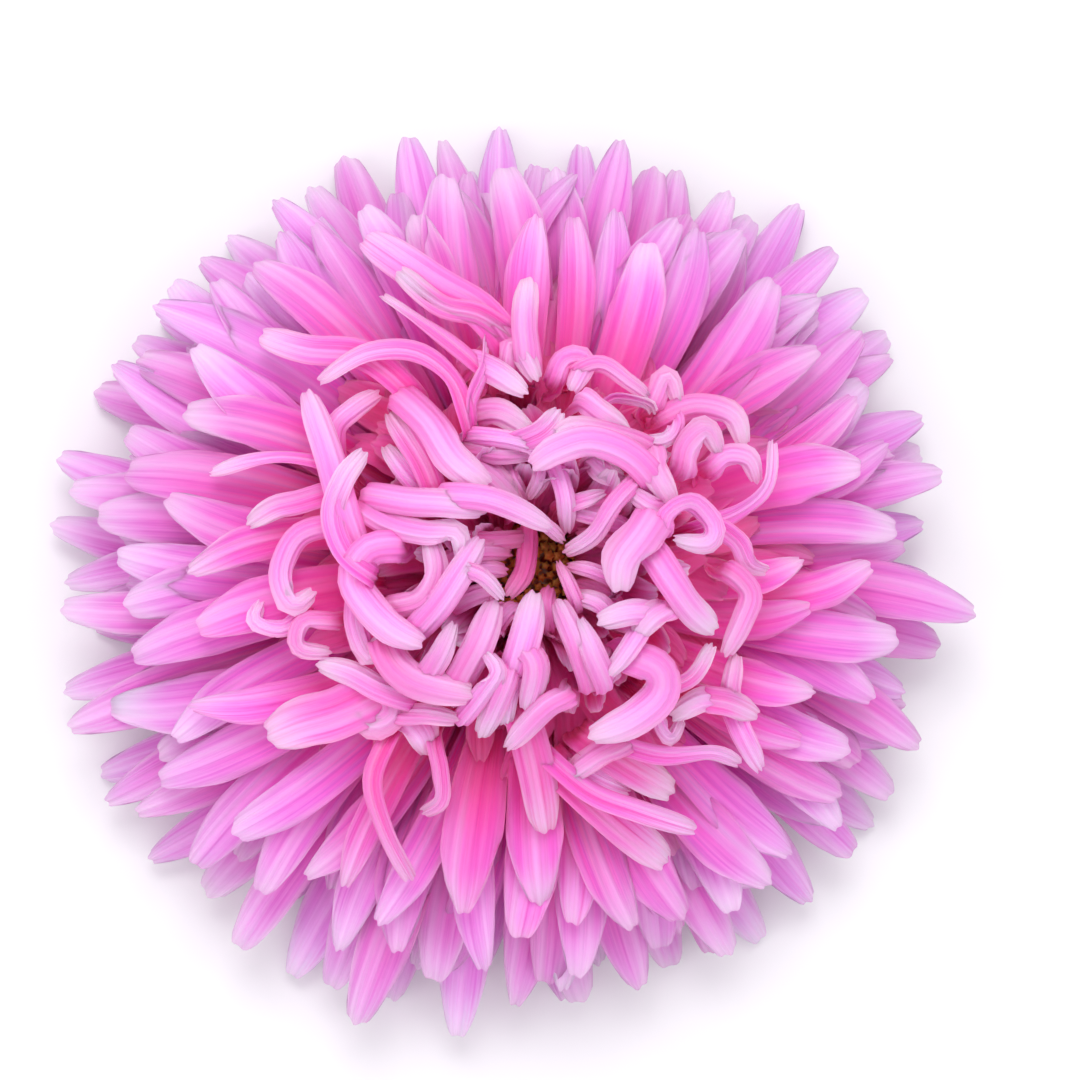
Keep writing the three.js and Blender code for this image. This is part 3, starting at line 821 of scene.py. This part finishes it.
# Whorls 6 and 7, in the same way.
for whorl, filling, longest in (
    (
        6,
        dict(
            count=10, radius=38, height=16.5, leave=42, arrive=-18, seat_radius=0.73 * HEAD_RADIUS,
            seat_height=17.0, width=6.0, roll=(35, 26, 18), wild=0.1, first=0.12,
        ),
        dict(
            nearest=39.5, furthest=43, seat_radius=0.71 * HEAD_RADIUS, seat_height=17.4, leave=50,
            roll=(34, 26, 15),
        ),
    ),
    (
        7,
        dict(
            count=10, radius=34, height=18.5, leave=50, arrive=-16, seat_radius=0.67 * HEAD_RADIUS,
            seat_height=18.0, width=5.6, roll=(35, 28, 20), wild=0.15, first=0.0,
        ),
        dict(
            nearest=0, furthest=39.5, seat_radius=0.65 * HEAD_RADIUS, seat_height=18.3, leave=58,
            roll=(36, 28, 16),
        ),
    ),
):
    lines = whorl_florets(**filling) + long_florets(**longest)
    piece = grow(f"florets_{whorl:02d}", lines, floret_tree, **MIDDLE_SIZES)
    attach(piece, "root")
    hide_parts(f"floret_whorl_{whorl:02d}")

# ------------------------------------------------------------------ inner whorls
# Short, thick florets that stand upright and curl over each other, mostly inwards, so that their pale
# grooved backs show. Beneath them stand shorter ones, which close the gaps down to the receptacle.
#
# The dome is how high the bloom's face is at each distance from the middle, in millimetres.
DOME = ((0, 37), (5, 40), (10, 42), (15, 40.5), (20, 36), (25, 31), (32, 28), (40, 23), (48, 14), (57, 3))
LEVEL = LOOK_AT.z / MM  # the height at which paths are given
SLANT = np.array((-backward.x / backward.z, -backward.y / backward.z))  # the view's slant from upright
FAR = CAMERA_DISTANCE / MM
START_SINK = 2.5  # how far a floret's start lies below the face
TIP_SINK = 1.0  # and its tip


def laid(path, width, lift=1.0, face=-1, roll=36, tilt=0, tone=None):
    """The line of a floret that lies over the dome. Its path is given as it shows from straight above
    the look-at point, and it grows up from the receptacle below the path's start. Face is 1 where its
    upper side is up and -1 where its back is, and tilt turns it towards its edge."""
    tips = []
    for x, y in path:
        spot = np.array((x, y), float)
        for _ in range(4):
            height = np.interp(math.hypot(*spot), *zip(*DOME)) + lift
            spot = (np.array((x, y)) - SLANT * (height - LEVEL)) * (1 - (height - LEVEL) / FAR)
        tips.append((*spot, height))
    tips = np.array(tips)
    tips[0, 2] -= START_SINK
    tips[-1, 2] -= TIP_SINK
    first = tips[0]
    out = unit(first[:2])
    reach = np.linalg.norm(first[:2])
    seat = np.array((*out * min(0.55 * reach + 1, 0.85 * HEAD_RADIUS), 0.0))
    seat[2] = np.interp(np.linalg.norm(seat[:2]), (5, 14), (22, 12))
    knee = seat * 0.4 + first * 0.6
    knee[:2] = out * (0.25 * np.linalg.norm(seat[:2]) + 0.75 * reach * 1.02)
    points = np.vstack((seat, knee, tips))
    forward = unit(np.gradient(points, axis=0))
    start = np.array((-out[1], out[0], 0.0))
    angle = math.radians(tilt)
    sides = [start, start]
    for ahead in forward[2:]:
        level = unit(np.cross((0, 0, 1), ahead)) * face
        sides.append(level * math.cos(angle) + np.cross(ahead, level) * math.sin(angle))
    sides[1] = unit(sides[0] + 0.5 * sides[2])
    rolls = np.radians(np.interp(np.linspace(0, 1, len(points)), (0, 0.5, 1), (40, roll, roll * 0.8)))
    tone = random.uniform() if tone is None else tone
    return dict(points=points * MM, side=np.array(sides), width=width * MM, roll=rolls, tone=tone)


# Each floret's path, width and height over the dome in millimetres, then what sets it apart.
CURLED = [
    ([(-14, 22.5), (-10.5, 19), (-7.5, 14.5), (-3.2, 11.2)], 4.2, 2),
    ([(-18, 10.2), (-13, 9.3), (-8, 9), (-3.5, 8.3)], 3.4, 1.5),
    ([(-9, 10.2), (-4, 9.8), (0, 8.5), (4.5, 6.3)], 3.0, 2.5),
    ([(0, 8), (3.5, 6.6), (6, 4.6)], 1.7, 0),
    ([(-19, 9), (-15, 6.5), (-11, 5.6), (-7, 5.3), (-6.5, 2.5)], 3, 0.5),
    ([(-15.5, -3.5), (-11.5, -2.5), (-9.6, 1), (-10.3, 5)], 3, 0.5),
    ([(-13, -7.5), (-9.5, -3.5), (-6.5, 1), (-4, 5)], 3.4, 1),
    ([(-18, 2), (-20.5, 8), (-22.5, 15), (-25, 22.5)], 3.6, 2.5),
    ([(-17, 0.5), (-20.5, 3), (-22, 7.5), (-20.5, 12), (-18, 15.3)], 2.8, 3.5, 1),
    ([(-5.5, 18.5), (-7.5, 23.5), (-12, 27), (-18, 26.8), (-23.5, 23.5)], 2.8, 2.5, 1, 36, 30),
    ([(-21, 14), (-21.5, 18), (-19, 20.5), (-16.2, 22.3)], 2.7, -1),
    ([(-9.5, 10.5), (-11, 13.5), (-13, 16.8), (-15, 20)], 3.2, 0, 1),
    ([(-11, 10.5), (-13.5, 13), (-15.5, 16)], 2.4, -1, 1),
    ([(-5, 18.5), (-5.5, 21.5), (-3.8, 25.5), (-3.5, 29.5)], 2.0, 1, 1, 36, 50),
    ([(-6, 26), (-3, 25.2), (1.5, 22.4)], 3.4, 1),
    ([(-0.5, 25), (0, 28.3), (2.7, 24)], 2.8, 1),
    ([(-6, 17.3), (-2, 17), (2, 16), (5, 14)], 2.1, 0),
    ([(-6, 16), (-2, 15), (3, 15.5)], 2.3, -1.5),
    ([(-5.5, 19.5), (-2, 20), (1.8, 18)], 3.3, -1.5),
    ([(0, 16.5), (3, 17.8), (5.5, 20.5)], 2.7, 1, 1),
    ([(17.5, 11.5), (14, 15), (9, 16.7), (4.5, 15.3), (2, 13.6)], 3.7, 2.5),
    ([(17, 15.5), (12, 17.3), (7, 18), (4.5, 16.5)], 3.2, 1.2),
    ([(8, 22), (10.5, 20), (13.7, 18)], 3.1, 2),
    ([(5, 14), (6, 10), (6.4, 5.6)], 2.3, -1),
    ([(15.5, 12.8), (12, 9.3), (9.3, 5.3), (6, 3.2)], 2.2, 1),
    ([(17.5, 8.5), (15.5, 5.5), (13, 2), (12.8, -1.4)], 5.0, 2.5),
    ([(16.5, 16), (17, 13), (19.5, 9)], 3.4, 2),
    ([(20.5, 9.5), (17, 8.8), (13.8, 11)], 2.4, 0.5),
    ([(18, 5.5), (18.5, 8), (21.5, 9.3), (24, 6.5), (23, 4.6), (19.3, 5)], 2.6, 2, -1, 36, 20),
    ([(16.5, 4), (19, 0), (21.5, -3.5), (24.5, -6)], 3.8, 2),
    ([(20.5, 13), (21, 16), (23.3, 18), (25, 15.5)], 3.4, 2),
    ([(18, 19.5), (22, 21), (26.5, 19.8), (28, 16.3)], 3.2, 0.5),
    ([(24, 13.5), (25.8, 15), (28.5, 14.5), (29.7, 11.9)], 2.8, 1),
    ([(23, 6.8), (27, 8.3), (30.5, 11.5), (31.5, 17)], 2.3, 1, 1, 36, 35),
    ([(5, 24), (6, 26.5), (8.5, 26.5), (7, 22.8)], 2.7, 0),
    ([(7.5, 25), (10.5, 26), (14, 23.8), (16.5, 22.2)], 2.1, 1),
    ([(17, 21), (18.5, 24.5), (20, 21.5)], 2.7, 1.5),
    ([(10.5, 20.5), (12, 22), (16, 21.3), (17, 20.2)], 2.0, 0, 1, 36, 45),
    ([(19.8, 20), (19.3, 18), (17.8, 16.9), (15.6, 17)], 2.0, 1),
    ([(6, 9), (8.5, 9.7), (11, 10.6)], 2.0, -1, 1),
    ([(13.5, 6.5), (10, 7.5), (5.5, 8.7)], 2.2, -2),
    ([(12.2, 0.1), (9, 1.2), (6.3, 1.8)], 1.8, 0),
    ([(8, -3.5), (6.5, -0.5), (5.3, 2.3)], 1.7, 0.5),
    ([(24, 7), (27, 4.8), (28.5, 2), (30.8, 1.2)], 2.5, 1, 1, 36, 25),
    ([(-13.5, 4), (-17.5, 3.3), (-19.3, 0), (-17.3, -3.5), (-14.3, -6.2), (-11, -7.7)], 4.1, 2.5),
    ([(-7, -13), (-4.5, -8), (-2.3, -2.5)], 3.8, 1),
    ([(-7, 1.5), (-4, 0.3), (-1.3, -2.3)], 1.9, 2),
    ([(-11, -12.5), (-9, -9), (-7.3, -5.2)], 2.9, 1.5),
    ([(-15.5, -7.5), (-14.2, -10.5), (-11, -12.5), (-5, -13.8)], 4.2, 2),
    ([(-18.5, -2), (-19, -5.5), (-17.5, -9), (-16, -7)], 2.9, 0),
    ([(-21, -5), (-25.3, -5.3), (-25.8, -8.3), (-22, -8.9)], 2.2, 1),
    ([(-24.5, -4), (-28, -6), (-31, -5), (-30.3, -2.8)], 2.2, 0.5),
    ([(-21, 6.5), (-26, 5), (-28, 0.5), (-26.5, -3), (-24, -1.5)], 2.9, 1.5),
    ([(-12, -14.3), (-16, -13.3), (-20, -11.3), (-23.7, -10.2)], 3.1, 1.5),
    ([(-15, -12.5), (-15, -16), (-17.3, -17), (-19, -14.5)], 3.7, 1),
    ([(-14, -16), (-10.5, -16.2), (-6.8, -16.8)], 2.5, 1.5),
    ([(-13, -15.5), (-11, -18.5), (-10, -21)], 4.5, 0),
    ([(-15, -13), (-21, -16), (-26, -17.5), (-29.5, -19)], 6.2, 0.5, 1, 30),
    ([(-9.5, -19), (-9, -23), (-9, -26.5), (-11, -28)], 2.0, 1, 1),
    ([(-14.5, -18.5), (-17, -24), (-15.5, -30), (-12.3, -36)], 2.4, 2, 1, 36, 30),
    ([(-6.5, -17), (-3.5, -13), (-2.3, -10.8), (-3.6, -8.6)], 2.4, 1.5),
    ([(-0.3, -9.8), (-1.5, -13), (-4, -19)], 2.9, 1),
    ([(1, -10.5), (-0.8, -14), (-1.2, -17.5)], 2.4, 0),
    ([(0.5, -7), (2.5, -10.5), (1.5, -15.8)], 3.1, 1.5),
    ([(7, -13.5), (3.5, -15.5), (-1, -20.3)], 2.9, 1.5),
    ([(0, -11.5), (1.3, -6.5), (2.6, -1.4)], 3.8, 1.5),
    ([(9.5, -13), (7.3, -7.5), (5.2, -2.3)], 2.9, 1),
    ([(11.5, -13), (9.5, -9), (7.8, -4.5)], 2.9, 1.8),
    ([(12, -5), (10, -2.8), (7, -1.8)], 2.5, -0.5),
    ([(18, -4), (14, -3.9), (10, -5)], 3.1, 1.5),
    ([(19, -3), (16.5, -4.5), (14.5, -7)], 3.3, 1.7),
    ([(15.5, -5.5), (13.5, -8.5), (11.3, -11.5)], 2.5, 2),
    ([(26, 1.5), (28.5, -1.5), (27.5, -5), (25.6, -9)], 2.9, 1.5),
    ([(14, -9), (17.3, -10.8), (17.3, -14), (13.5, -17), (9, -18.8)], 4.5, 2.5),
    ([(14, -19), (10, -21), (5.8, -24)], 3.1, 1),
    ([(18, -13), (21.5, -11.5), (24, -7.6)], 2.0, 1, 1),
    ([(26, -15), (26.3, -12), (27, -8.8)], 2.4, 1.5),
    ([(22.5, -14), (26, -14.8), (29.6, -16.3)], 3.3, 1.5, 1),
    ([(26.5, -14.5), (22.5, -14.5), (19, -16.5)], 3.1, 1),
    ([(17, -14.5), (17.7, -17.5), (19, -18.8), (20.4, -16.4)], 1.8, 1),
    ([(13, -19.5), (18, -21), (24, -20.7), (27.4, -22)], 2.4, 1, 1, 36, 30),
    ([(26, -14.5), (27.5, -18.5), (30, -22.8)], 2.7, 0.5, 1),
    ([(9, -19), (14, -22.5), (19.3, -25.5)], 4.4, -0.5, 1, 30),
    ([(4, -21), (9, -25.5), (15, -27.8), (22, -30)], 2.7, 1, 1),
    ([(7, -21.5), (10.5, -23.8), (14, -25.3)], 2.4, 0, 1),
    ([(5, -22), (11, -28), (18.5, -34)], 4.6, -0.5, 1, 30),
    ([(1, -16), (2.5, -23), (3.9, -30.3)], 4.5, 0, 1, 30),
    ([(-12, 22), (-18, 26.5), (-25, 27.3), (-30.5, 29)], 3.6, 0.5, 1),
    ([(-21, 10.5), (-26, 9), (-29, 8.2), (-32, 6.3)], 2.9, 0.5, 1),
    ([(-20, 13), (-28, 14.2), (-36.5, 12.5)], 2.6, 0.5, 1, 36, 45),
    ([(0, 27), (-4, 32), (-10, 35.5), (-18, 41)], 4.6, 1, 1, 30),
    ([(-3.5, 24.5), (-9, 29), (-16, 34)], 2.4, 1.5, 1, 36, 40),
    ([(1, 28), (-4, 31.5), (-9, 32.8), (-14, 37)], 2.8, 1.2, 1),
    ([(2, 25), (1.2, 31), (1.8, 36.5)], 3.3, 1.5),
    ([(1.8, 6.5), (1.5, 3.5), (0.8, 0.5), (-0.8, -2)], 2.5, -2.5),
    ([(-8, 5), (-3, 4.6), (2.5, 5.2)], 2.2, -3),
    ([(-8, 2.5), (-4, 3.3), (-0.3, 3.2)], 2.2, -2.5),
    ([(-7, 0), (-4, 1.2), (-0.8, 1)], 2.2, -2.5),
    ([(-8, -3.5), (-5, -2), (-1.5, -1)], 2.4, -3),
    ([(-7, 15), (-3, 12.5), (0.8, 9)], 3.4, -3),
    ([(-1, 15), (-0.5, 12), (1.5, 9.5)], 2.4, -4),
    ([(3.5, 15), (3, 12), (1.8, 9.7)], 2.2, -3),
    ([(9, 15), (11, 13), (13.5, 12.2)], 3, -2),
    ([(14, 9.5), (10, 8.6), (5.5, 7.3)], 2.4, -4),
    ([(13, 4.5), (10, 5.3), (7.5, 6)], 2.6, -4),
    ([(13, -2.5), (10, -1.5), (7, -0.3)], 2.4, -4),
    ([(4.5, -6), (3.8, -3), (4.4, -0.8)], 2.2, -2),
    ([(-3, -7), (-1, -4), (0.6, -3)], 2.2, -3),
]

CURLED_OUTLINE = [(0, 0.5), (0.3, 0.76), (0.65, 0.99), (0.85, 1.0), (0.94, 0.95), (0.98, 0.84), (1.0, 0.7)]
curled_tree = blade_tree("curled_floret", CURLED_OUTLINE, tube_roll=1.2)
INNER_SIZES = dict(
    Stations=40, Round=24, Thickness=0.45 * MM, Tip=1.0, Notch=0.2 * MM, Ripple=0.25 * MM,
    Groove=0.1 * MM, Ribs=3.0, Material=inner_petal,
)

# The curled florets belong to four whorls, by how far from the eye they end, in millimetres.
EYE = (3, 2)
rings = {8: [], 9: [], 10: [], 11: []}
for path, *shape in CURLED:
    end = math.dist(path[-1], EYE)
    rings[8 if end > 26 else 9 if end > 19 else 10 if end > 12 else 11].append(laid(path, *shape))
# Shorter ones fill each whorl all the way round below them: the whorl, then what whorl_florets takes.
for whorl, *filling in (
    (8, 12, 31, 20.5, 62, -10, 0.62 * HEAD_RADIUS, 18.8, 5.0, (35, 30, 25), 0.25, 0.2),
    (9, 10, 25, 25, 72, -5, 0.56 * HEAD_RADIUS, 19.5, 4.0, (35, 32, 28), 0.5, 0.0),
    (8, 24, 27, 23.5, 70, -10, 0.6 * HEAD_RADIUS, 19.2, 4.6, (35, 32, 28), 0.4, 0.0),
    (9, 22, 22, 28, 80, 10, 0.52 * HEAD_RADIUS, 20.0, 4.4, (35, 34, 30), 0.4, 0.1),
    (9, 22, 18, 34.5, 88, 45, 0.5 * HEAD_RADIUS, 20.2, 4.0, (35, 34, 30), 0.45, 0.25),
    (10, 22, 14.5, 39.6, 92, 60, 0.45 * HEAD_RADIUS, 20.6, 3.6, (35, 34, 30), 0.45, 0.0),
    (10, 22, 11, 39.4, 95, 80, 0.42 * HEAD_RADIUS, 20.8, 3.2, (35, 34, 30), 0.45, 0.1),
    (11, 16, 8.2, 38, 98, 95, 0.4 * HEAD_RADIUS, 20.8, 2.8, (35, 36, 30), 0.5, 0.2),
):
    rings[whorl] += whorl_florets(*filling)
for whorl, lines in rings.items():
    piece = grow(f"florets_{whorl:02d}", lines, curled_tree, **INNER_SIZES)
    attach(piece, "root")
    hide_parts(f"floret_whorl_{whorl:02d}")

# ------------------------------------------------------------------ disc florets
# The eye: a small cushion packed with tubular florets, each a tiny five-lobed trumpet, ochre at its mouth
# and red-brown below.
disc_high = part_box("disc_florets")[1]
DISC_RADIUS = disc_high[0] + 1.8 * MM
DISC_FLORETS = 130

# Dry pollen-dusted tube: matt, brown-red, with ochre mouths.
disc_floret, shader = new_material("disc_floret", roughness=0.75, ior=1.45, subsurface_weight=0.2)
shader.inputs["Subsurface Scale"].default_value = 0.5 * MM
node = functools.partial(add, disc_floret.node_tree)
tube = node("ShaderNodeAttribute", attribute_name="tube").outputs["Fac"]
age = node("ShaderNodeAttribute", attribute_name="age").outputs["Fac"]
mouth = node("ShaderNodeMix", age, linear("#f4a850"), linear("#dca850"), data_type="RGBA")
ripe = node("ShaderNodeMapRange", tube, 0.55, 0.95)
brown = node("ShaderNodeMix", age, linear("#c04834"), linear("#e07a40"), data_type="RGBA")
colour = node("ShaderNodeMix", ripe, brown.outputs[2], mouth.outputs[2], data_type="RGBA")
disc_floret.node_tree.links.new(colour.outputs[2], shader.inputs["Base Color"])
dust = node("ShaderNodeTexNoise", node("ShaderNodeTexCoord").outputs["Object"])
dust.inputs["Scale"].default_value = 1 / (0.25 * MM)
bump = node("ShaderNodeBump", 0.5, 0.1 * MM)
disc_floret.node_tree.links.new(dust.outputs[0], bump.inputs["Height"])
disc_floret.node_tree.links.new(bump.outputs[0], shader.inputs["Normal"])

tree = bpy.data.node_groups.new("disc", "GeometryNodeTree")
tree.interface.new_socket("Cushion", in_out="INPUT", socket_type="NodeSocketGeometry")
tree.interface.new_socket("Count", in_out="INPUT", socket_type="NodeSocketInt")
for title in ("Radius", "Crown", "Seat", "Tube Length", "Tube Radius"):
    tree.interface.new_socket(title, in_out="INPUT", socket_type="NodeSocketFloat")
tree.interface.new_socket("Material", in_out="INPUT", socket_type="NodeSocketMaterial")
tree.interface.new_socket("Florets", in_out="OUTPUT", socket_type="NodeSocketGeometry")
given = tree.nodes.new("NodeGroupInput").outputs
node = functools.partial(add, tree)
math_node = "ShaderNodeMath"

# One floret: a narrow tube that opens into five lobes.
foot = node(math_node, given["Tube Radius"], 0.55, operation="MULTIPLY")
shape = node("GeometryNodeMeshCone", 15, 4, 1, given["Tube Radius"], foot, given["Tube Length"])
spot = node("GeometryNodeInputPosition")
parts = node("ShaderNodeSeparateXYZ", spot)
share = node(math_node, parts.outputs["Z"], given["Tube Length"], operation="DIVIDE")
angle = node(math_node, parts.outputs["Y"], parts.outputs["X"], operation="ARCTAN2")
lobes = node(math_node, node(math_node, angle, 5.0, operation="MULTIPLY"), operation="COSINE")
power = node(math_node, share, 4.0, operation="POWER")
swell = node(math_node, lobes, 0.35, 1.0, operation="MULTIPLY_ADD")
flare = node(math_node, power, 0.5, 1.0, operation="MULTIPLY_ADD")
swell = node("ShaderNodeMix", power, 1.0, swell, data_type="FLOAT")
grown = node(math_node, swell, flare, operation="MULTIPLY")
wide = node("ShaderNodeCombineXYZ", grown, grown, 1.0)
spot = node("ShaderNodeVectorMath", spot, wide, operation="MULTIPLY")
shape = node("GeometryNodeSetPosition", shape, None, spot)
shape = node("GeometryNodeStoreNamedAttribute", shape, None, "tube", share, data_type="FLOAT")
shape = node("GeometryNodeSetShadeSmooth", shape)

# They are set in a spiral that packs them evenly, and lean out towards the rim.
points = node("GeometryNodePoints", given["Count"])
index = node("GeometryNodeInputIndex")
turned = node(math_node, index, math.pi * (3 - math.sqrt(5)), operation="MULTIPLY")
share = node(math_node, node(math_node, index, 0.5, operation="ADD"), given["Count"], operation="DIVIDE")
out = node(math_node, node(math_node, share, operation="SQRT"), given["Radius"], operation="MULTIPLY")
x = node(math_node, node(math_node, turned, operation="COSINE"), out, operation="MULTIPLY")
y = node(math_node, node(math_node, turned, operation="SINE"), out, operation="MULTIPLY")
fall = node(math_node, share, given["Crown"], operation="MULTIPLY")
z = node(math_node, given["Seat"], fall, operation="SUBTRACT")
spot = node("ShaderNodeCombineXYZ", x, y, z)
points = node("GeometryNodeSetPosition", points, None, spot)
age = node("FunctionNodeRandomValue", 0.0, 1.0, None, 3, data_type="FLOAT")
points = node("GeometryNodeStoreNamedAttribute", points, None, "age", age, data_type="FLOAT")
lean_out = node("ShaderNodeCombineXYZ", x, y, 9 * MM)
turn = node("FunctionNodeAlignRotationToVector", None, 1.0, lean_out, axis="Z")
size = node("FunctionNodeRandomValue", 0.8, 1.2, None, 7, data_type="FLOAT")
florets = node("GeometryNodeInstanceOnPoints", points, None, shape, None, None, turn, size)
florets = node("GeometryNodeRealizeInstances", florets)
florets = node("GeometryNodeSetMaterial", florets, None, given["Material"])
result = tree.nodes.new("NodeGroupOutput")
tree.links.new(florets.outputs[0], result.inputs[0])

source = bpy.data.objects.new("disc_source", bpy.data.meshes.new("disc_source"))
bpy.context.scene.collection.objects.link(source)
modifier = source.modifiers.new("disc", "NODES")
modifier.node_group = tree
sockets = {s.name: s.identifier for s in tree.interface.items_tree if s.in_out == "INPUT"}
modifier[sockets["Count"]] = DISC_FLORETS
modifier[sockets["Radius"]] = DISC_RADIUS
modifier[sockets["Crown"]] = 2.2 * MM
modifier[sockets["Seat"]] = disc_high[2] - 1.6 * MM
modifier[sockets["Tube Length"]] = 2.4 * MM
modifier[sockets["Tube Radius"]] = 0.36 * MM
modifier[sockets["Material"]] = disc_floret
source.update_tag()
mesh = bpy.data.meshes.new_from_object(source.evaluated_get(bpy.context.evaluated_depsgraph_get()))
bpy.data.objects.remove(source)
piece = bpy.data.objects.new("disc_tubes", mesh)
bpy.context.scene.collection.objects.link(piece)
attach(piece, "root")
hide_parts("disc_florets")
